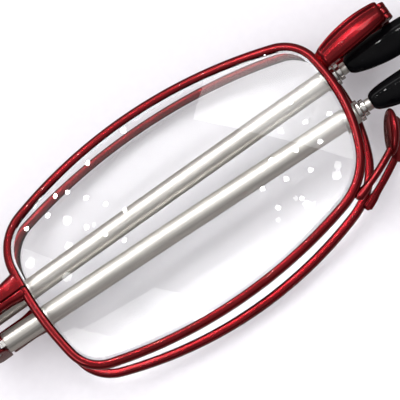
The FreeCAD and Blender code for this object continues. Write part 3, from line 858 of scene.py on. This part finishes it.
def make_bridge_arm(side, material):
    """Half of the bridge: an arched strip, hollowed along its top, that ends in hinge knuckles."""
    middle = sum(BRIDGE_KNUCKLES) / 2
    run = BRIDGE_FACE_X - BRIDGE_ROOT_X
    start = BRIDGE_ROOT_X - BRIDGE_BURIED
    rings = []
    for x in spread(start, BRIDGE_FACE_X, 60):
        from_root, to_face = x - BRIDGE_ROOT_X, BRIDGE_FACE_X - x
        share = from_root / run
        flare = blend_value(((-BRIDGE_BURIED, 1.0), (BRIDGE_FLARE_RUN, 0.0)), from_root)
        end = blend_value(((0.0, 1.0), (BRIDGE_END_RUN, 0.0)), to_face)
        low = -bowed((-BRIDGE_ROOT[0], -BRIDGE_END[0]), BRIDGE_LOW_BOW, share, run)
        high = bowed((BRIDGE_ROOT[1], BRIDGE_END[1]), BRIDGE_HIGH_BOW, share, run)
        widen = BRIDGE_FLARE * flare - BRIDGE_END_TAPER * end
        low -= widen
        high += widen
        dip = blend_value(((0.0, 1.0), (BRIDGE_DIP_RUN, 0.0)), from_root)
        top = bowed(BRIDGE_TOP, BRIDGE_TOP_BOW, share, run)
        top -= BRIDGE_END_DROP * end + BRIDGE_DIP * dip
        arch = BRIDGE_ARCH_END - BRIDGE_ROOT_X
        under = bowed(BRIDGE_UNDER, BRIDGE_UNDER_BOW, from_root / arch, arch)
        if x > BRIDGE_ARCH_END:
            under = blend_value(((BRIDGE_ARCH_END, BRIDGE_UNDER[1]), (BRIDGE_HEEL, 0.0)), x)
        flat, full = BRIDGE_VALLEY_START
        deep = blend_value(((flat, 0.0), (full, 1.0)), from_root)
        fading, faded = BRIDGE_VALLEY_STOP
        deep *= blend_value(((faded, BRIDGE_VALLEY_LEFT), (fading, 1.0)), to_face)
        across, drop, radius = BRIDGE_VALLEY
        valley = (across, drop + BRIDGE_VALLEY_DEPTH * deep, radius)
        upper = [
            (high - across * (high - low), top - drop, radius)
            for across, drop, radius in (*BRIDGE_RIM_EDGE, valley, *BRIDGE_CROWN)
        ]
        section = rounded(((low, under, 0.12), (high, under, 0.12), *upper), 4)
        rings.append([ON_SIDE[side]((x, a, b)) for a, b in section])
    reach = 2 * BRIDGE_KNUCKLE
    slot_x = (BRIDGE_SLOT, BRIDGE_HINGE_X + reach)
    slot_z = (-reach, BRIDGE_KNUCKLE + KNUCKLE_GAP)
    low, high = BRIDGE_KNUCKLES
    gap = BRIDGE_MIDDLE_HALF + KNUCKLE_GAP
    if side == "right":
        slots = [(middle - gap, middle + gap)]
        knuckles = [(low, middle - gap), (middle + gap, high)]
    else:
        half = BRIDGE_MIDDLE_HALF
        slots = [(BRIDGE_END[0] - 1, middle - half), (middle + half, BRIDGE_END[1] + 1)]
        knuckles = [(middle - half, middle + half)]
    cutters = [block(ON_SIDE[side], slot_x, span, slot_z) for span in slots]
    heel = (BRIDGE_END[0] - 1, BRIDGE_HEEL_LOW)
    cutters.append(block(ON_SIDE[side], (30.0, BRIDGE_HINGE_X), heel, (-1.0, BRIDGE_UNDER[1])))
    strip = piece(
        f"{side}_bridge_arm", [shell(rings)], material, smooth_angle=35, cutters=cutters
    )
    bore = BRIDGE_PIN + 0.01
    barrels = [
        upright_ring(side, BRIDGE_HINGE_X, 0, a, b, BRIDGE_KNUCKLE, bore, 0.1) for a, b in knuckles
    ]
    add_shells(strip, barrels)


def add_shells(thing, shells):
    """More closed shells in an object that is already made."""
    work = bmesh.new()
    work.from_mesh(thing.data)
    for points, faces in shells:
        made = [work.verts.new(at(point)) for point in points]
        new = [work.faces.new([made[k] for k in face]) for face in faces]
        bmesh.ops.recalc_face_normals(work, faces=new)
        for face in new:
            face.smooth = True
    work.to_mesh(thing.data)
    work.free()
    thing.data.set_sharp_from_angle(angle=math.radians(35))


def arc_through(first, second, third, count):
    """Points on the circle's arc through three points."""
    a, b = first - third, second - third
    normal = a.cross(b)
    centre = third + (b * a.length_squared - a * b.length_squared).cross(normal) / (
        2 * normal.length_squared
    )
    start, end = first - centre, third - centre
    turn = start.angle(end)
    axis = start.cross(end).normalized()
    return [centre + Matrix.Rotation(turn * n / (count - 1), 3, axis) @ start for n in range(count)]


def make_pad_arm(side, material):
    """The nose pad's wire, with a flattened foot soldered along the rim."""
    path = arc_through(*(Vector(point) for point in PAD_WIRE), 40)
    rings = []
    length = 0.0
    for n, point in enumerate(path):
        if n:
            length += (point - path[n - 1]).length
        ahead = path[min(n + 1, len(path) - 1)] - path[max(n - 1, 0)]
        ahead.normalize()
        across = ahead.cross(Vector((0, 0, 1))).normalized()
        up = across.cross(ahead)
        wide = blend_value(PAD_WIRE_WIDE, length)
        thick = blend_value(PAD_WIRE_THICK, length)
        ring = []
        for k in range(20):
            angle = 2 * math.pi * k / 20
            offset = across * (wide * math.cos(angle)) + up * (thick * math.sin(angle))
            ring.append(ON_SIDE[side](point + offset))
        rings.append(ring)
    piece(f"{side}_nose_pad_arm", [shell(rings)], material)


def make_pad(side, material):
    """The nose pad: an oval plate on edge, flat towards the rim and full towards the nose."""
    centre = Vector(PAD_CENTRE)
    lean = Matrix.Rotation(math.radians(PAD_LEAN), 3, "Y")
    turn = Matrix.Rotation(math.radians(PAD_TURN), 3, "Z") @ lean
    rings = []
    count = 34
    for n in range(count):
        share = -math.cos(math.pi * (n + 0.25) / (count - 0.5))
        flat = PAD_FLAT * (1 - share**4) ** 0.5
        full = PAD_FULL * (1 - share**2) ** 0.6
        tall = PAD_HALF_HEIGHT * (1 - share**2) ** 0.5
        ring = []
        for k in range(36):
            angle = 2 * math.pi * k / 36
            out = math.cos(angle)
            out = abs(out) ** 0.8 * (full if out > 0 else -flat)
            local = Vector((out, PAD_HALF_LENGTH * share, tall * math.sin(angle)))
            ring.append(ON_SIDE[side](centre + turn @ local))
        rings.append(ring)
    piece(f"{side}_nose_pad", [shell(rings)], material, smooth_angle=60)


def solid_rod(low, high, radius, edge):
    """The corners of a plain round rod's outline, which starts and ends on its axis."""
    return ((low, 0.001, 0), (low, radius, edge), (high, radius, edge), (high, 0.001, 0))


def make_temple(side, silver, collar, steel, brass, black):
    """A temple's pieces from its hinge to its tip, shut."""
    place = on_temple(side)

    def put(word, outlines, material):
        shells = [lathe(outline, place, 64) for outline in outlines]
        piece(f"{side}_{word}", shells, material)

    put("outer_tube", [turned_ring(*OUTER_TUBE, 0.16)], silver)
    start, end, radius, bore = OUTER_COLLAR
    lip, lip_radius = COLLAR_LIP
    grooved = rounded(
        (
            (start, bore, 0.02),
            (start, radius, 0.06),
            (end, radius, 0.06),
            (end, lip_radius, 0.02),
            (lip, bore, 0.02),
        ),
        3,
    )
    put("outer_collar", [grooved], collar)
    put("middle_tube", [turned_ring(*MIDDLE_TUBE, 0.06)], silver)
    put("middle_stop_ring", [turned_ring(*MIDDLE_STOP_RING, 0.05)], brass)
    put("middle_collar", [turned_ring(*MIDDLE_COLLAR, 0.06)], collar)
    put("tip_ferrule", [turned_ring(*TIP_FERRULE, 0.04)], silver)
    put("rod_stop_ring", [turned_ring(*ROD_STOP_RING, 0.05)], brass)
    rod = lathe(rounded(solid_rod(*ROD, 0.1), 3), place, 40, closed=False)
    piece(f"{side}_rod", [rod], silver)
    make_leaf(side, place, steel)
    make_tip(side, place, black)


def make_leaf(side, place, material):
    """The temple's knuckle with its web and the plug in the tube."""

    def stand(point):
        along, out, up = point
        return place((out, along, up))

    knuckle = lathe(
        turned_ring(-KNUCKLE_HALF, KNUCKLE_HALF, KNUCKLE, 0.63, 0.08), stand, 48
    )
    web = block(place, LEAF_WEB, (-KNUCKLE_HALF, KNUCKLE_HALF), (-0.9, 0.9))
    plug = rounded(solid_rod(*PLUG, 0.1), 3)
    shells = [knuckle, web, lathe(plug, place, 40, closed=False)]
    piece(f"{side}_temple_leaf", shells, material)


def make_tip(side, place, material):
    """The black tip: a drop that swells from a rolled lip, then tapers and droops."""
    length = TIP_SECTIONS[-1][0]
    steps = 80
    rings = []
    for n in range(steps + 1):
        spot = length * (n / steps) ** 1.4
        drop, wide, thick = (smooth_curve(TIP_SECTIONS, column, spot) for column in (1, 2, 3))
        ring = []
        for k in range(48):
            angle = 2 * math.pi * k / 48
            across = wide * math.cos(angle) - drop
            ring.append(place((TIP_START + spot, across, thick * math.sin(angle))))
        rings.append(ring)
    piece(f"{side}_temple_tip", [shell(rings)], material, smooth_angle=60)


def smooth_curve(stations, column, spot):
    """A column of the stations read at a spot, by monotone cubic interpolation."""
    xs = [station[0] for station in stations]
    ys = [station[column] for station in stations]
    slopes = [(ys[n + 1] - ys[n]) / (xs[n + 1] - xs[n]) for n in range(len(xs) - 1)]
    tangents = [slopes[0]]
    for before, after in zip(slopes, slopes[1:]):
        tangents.append(2 * before * after / (before + after) if before * after > 0 else 0.0)
    tangents.append(slopes[-1])
    n = max(k for k in range(len(xs) - 1) if xs[k] <= spot + 1e-9)
    width = xs[n + 1] - xs[n]
    share = min(1.0, (spot - xs[n]) / width)
    square, cube = share**2, share**3
    return (
        ys[n] * (2 * cube - 3 * square + 1)
        + tangents[n] * width * (cube - 2 * square + share)
        + ys[n + 1] * (3 * square - 2 * cube)
        + tangents[n + 1] * width * (cube - square)
    )


def make_bridge_pin(material):
    """The pin through the bridge knuckles, its ends peened over."""

    def place(point):
        along, out, up = point
        return Vector((BRIDGE_HINGE_X + out, along, up))

    low, high = BRIDGE_KNUCKLES
    radius = BRIDGE_PIN - 0.01
    pin = lathe(rounded(solid_rod(low, high, radius, 0.12), 4), place, 40, closed=False)
    piece("bridge_hinge_pin", [pin], material)


# ---------------------------------------------------------------- stage
CAMERA_TARGET = (1.65, -0.12, 4.6)
CAMERA_DISTANCE = 1.0
CAMERA_ROLL = math.radians(-45)
LAMP_DISTANCE = 0.9
LED_DISTANCE = 0.6
LED_SIZE = 0.0075
FLOOR_REACH = 3.0


def look_at(thing, target, roll=0.0):
    """Point an object's -Z at a target."""
    away = thing.location - target
    rolled = Matrix.Rotation(roll, 4, "Z").to_quaternion()
    thing.rotation_mode = "QUATERNION"
    thing.rotation_quaternion = away.to_track_quat("Z", "Y") @ rolled


def direction(azimuth, elevation):
    """From the object towards a viewer or lamp; azimuth 0 stands at -Y, 90 at +X."""
    a, e = math.radians(azimuth), math.radians(elevation)
    return Vector((math.sin(a) * math.cos(e), -math.cos(a) * math.cos(e), math.sin(e)))


def make_camera():
    """A long lens that looks down on the glasses from low in front, turned by an eighth."""
    data = bpy.data.cameras.new("camera")
    data.sensor_width = 36.0
    data.lens = 700.0
    data.clip_end = 100.0
    camera = bpy.data.objects.new("camera", data)
    bpy.context.scene.collection.objects.link(camera)
    target = at(CAMERA_TARGET)
    camera.location = target + direction(10, 75) * CAMERA_DISTANCE
    look_at(camera, target, CAMERA_ROLL)
    bpy.context.scene.camera = camera


def add_softbox(name, azimuth, elevation, width, height, power):
    """A plain rectangular lamp that faces the glasses; width and height are in metres."""
    data = bpy.data.lights.new(name, "AREA")
    data.shape = "RECTANGLE"
    data.size = width
    data.size_y = height
    data.energy = power
    lamp = bpy.data.objects.new(name, data)
    bpy.context.scene.collection.objects.link(lamp)
    lamp.location = at((0, 0, 0)) + direction(azimuth, elevation) * LAMP_DISTANCE
    look_at(lamp, at((0, 0, 0)))
    return lamp


def make_floor():
    """A pale matt sheet, with painted shade where a polished surface mirrors it: it shows dark grey in
    reflections.
    """
    mesh = bpy.data.meshes.new("floor")
    reach = FLOOR_REACH
    mesh.from_pydata(
        [(-reach, -reach, 0), (reach, -reach, 0), (reach, reach, 0), (-reach, reach, 0)],
        [],
        [(0, 1, 2, 3)],
    )
    floor = bpy.data.objects.new("floor", mesh)
    bpy.context.scene.collection.objects.link(floor)
    floor.location.z = cad_low.z - 0.00002
    material, shader = material_with("pale_floor", Roughness=0.9, Specular_IOR_Level=0.1)
    shade = grain(material, 900, detail=2)
    drive(
        material,
        shader,
        "Base Color",
        ramp(material, shade, (0.3, (0.86, 0.845, 0.88)), (0.7, (0.88, 0.865, 0.90))),
    )
    tree = material.node_tree
    # Painted shade: in rays that a polished surface mirrored, the floor is swapped for a dark grey
    # one.
    painted_reflection_shade = add_node(material, "BsdfDiffuse", {"Color": (0.26, 0.24, 0.23, 1)})
    mixed = add_node(material, "MixShader", {"Fac": mirror_share(tree)})
    tree.links.new(shader.outputs[0], mixed.inputs[1])
    tree.links.new(painted_reflection_shade.outputs[0], mixed.inputs[2])
    tree.links.new(mixed.outputs[0], tree.nodes["Material Output"].inputs["Surface"])
    mesh.materials.append(material)


def make_world():
    """A pale room: even light on matt surfaces, but dim where glossy ones mirror it."""
    world = bpy.data.worlds.new("studio")
    world.use_nodes = True
    bpy.context.scene.world = world
    tree = world.node_tree
    plain = tree.nodes["Background"]
    plain.inputs["Color"].default_value = (1.0, 0.985, 1.0, 1)
    plain.inputs["Strength"].default_value = 1.17
    where = tree.nodes.new("ShaderNodeTexCoord")
    dot = tree.nodes.new("ShaderNodeVectorMath")
    dot.operation = "DOT_PRODUCT"
    tree.links.new(where.outputs["Generated"], dot.inputs[0])
    dot.inputs[1].default_value = direction(190, 70)
    band = tree.nodes.new("ShaderNodeValToRGB")
    tree.links.new(dot.outputs["Value"], band.inputs["Fac"])
    stops = ((0.0, 0.08), (0.25, 0.1), (0.5, 0.3), (0.85, 0.58), (0.94, 0.62), (1.0, 0.62))
    while len(band.color_ramp.elements) < len(stops):
        band.color_ramp.elements.new(0.5)
    for element, (place, value) in zip(band.color_ramp.elements, stops):
        element.position = place
        element.color = (value, value * 0.98, value * 0.97, 1)
    mirrored = tree.nodes.new("ShaderNodeBackground")
    tree.links.new(band.outputs["Color"], mirrored.inputs["Color"])
    mixed = tree.nodes.new("ShaderNodeMixShader")
    tree.links.new(mirror_share(tree), mixed.inputs["Fac"])
    tree.links.new(plain.outputs[0], mixed.inputs[1])
    tree.links.new(mirrored.outputs[0], mixed.inputs[2])
    tree.links.new(mixed.outputs[0], tree.nodes["World Output"].inputs["Surface"])


def add_led_head(name, azimuth, elevation, columns, rows, pitch, power):
    """A lamp head seen in the lenses as dots: staggered columns of small round lamps."""
    away = direction(azimuth, elevation)
    facing = away.to_track_quat("Z", "Y").to_matrix()
    for column in range(columns):
        for row in range(rows):
            across = (column - (columns - 1) / 2) * pitch[0]
            along = (row - (rows - 1) / 2 + column % 2 / 2) * pitch[1]
            data = bpy.data.lights.new(f"{name}_{column}_{row}", "AREA")
            data.shape = "DISK"
            data.size = LED_SIZE
            data.energy = power
            lamp = bpy.data.objects.new(data.name, data)
            bpy.context.scene.collection.objects.link(lamp)
            head = at((0, 0, 0)) + away * LED_DISTANCE
            lamp.location = head + facing @ Vector((across, along, 0))
            look_at(lamp, at((0, 0, 0)))
            lamp.visible_diffuse = False


def make_lights():
    """Two softboxes, one more that only glossy surfaces see, and the heads of small lamps."""
    add_softbox("key_softbox", 190, 42, 0.75, 0.06, 0.8)
    add_softbox("side_softbox", 262, 42, 0.45, 0.1, 1.0)
    glint = add_softbox("bridge_softbox", 130, 62, 0.5, 0.26, 1.5)
    glint.visible_diffuse = False
    add_led_head("bar_leds", 185, 59, 14, 1, (0.034, 0.03), 0.07)
    add_led_head("right_leds", 130, 71, 3, 4, (0.030, 0.046), 0.006)
    add_led_head("left_leds", 214, 62, 2, 5, (0.040, 0.032), 0.006)


make_camera()
make_world()
make_lights()
make_floor()

red = red_lacquer()
lens = clear_lens()
steel = screw_steel()
collar = polished_collar()
brass = stop_brass()
black = black_tip()
for side in SIDES:
    make_rim(side, red)
    make_lens(side, lens)
    make_end_piece(side, red)
    make_closing_block(side, red)
    make_screw(side, f"{side}_closing_screw", *CLOSING_SCREW, steel)
    make_screw(side, f"{side}_temple_hinge_screw", TEMPLE_HINGE_X, 0.0, steel)
    make_bridge_arm(side, red)
    make_pad_arm(side, red)
    make_pad(side, red)
    silver = satin_silver(f"{side}_satin_silver", TEMPLE_TILT[side])
    make_temple(side, silver, collar, steel, brass, black)
make_bridge_pin(steel)

bpy.context.scene.view_settings.view_transform = "Standard"
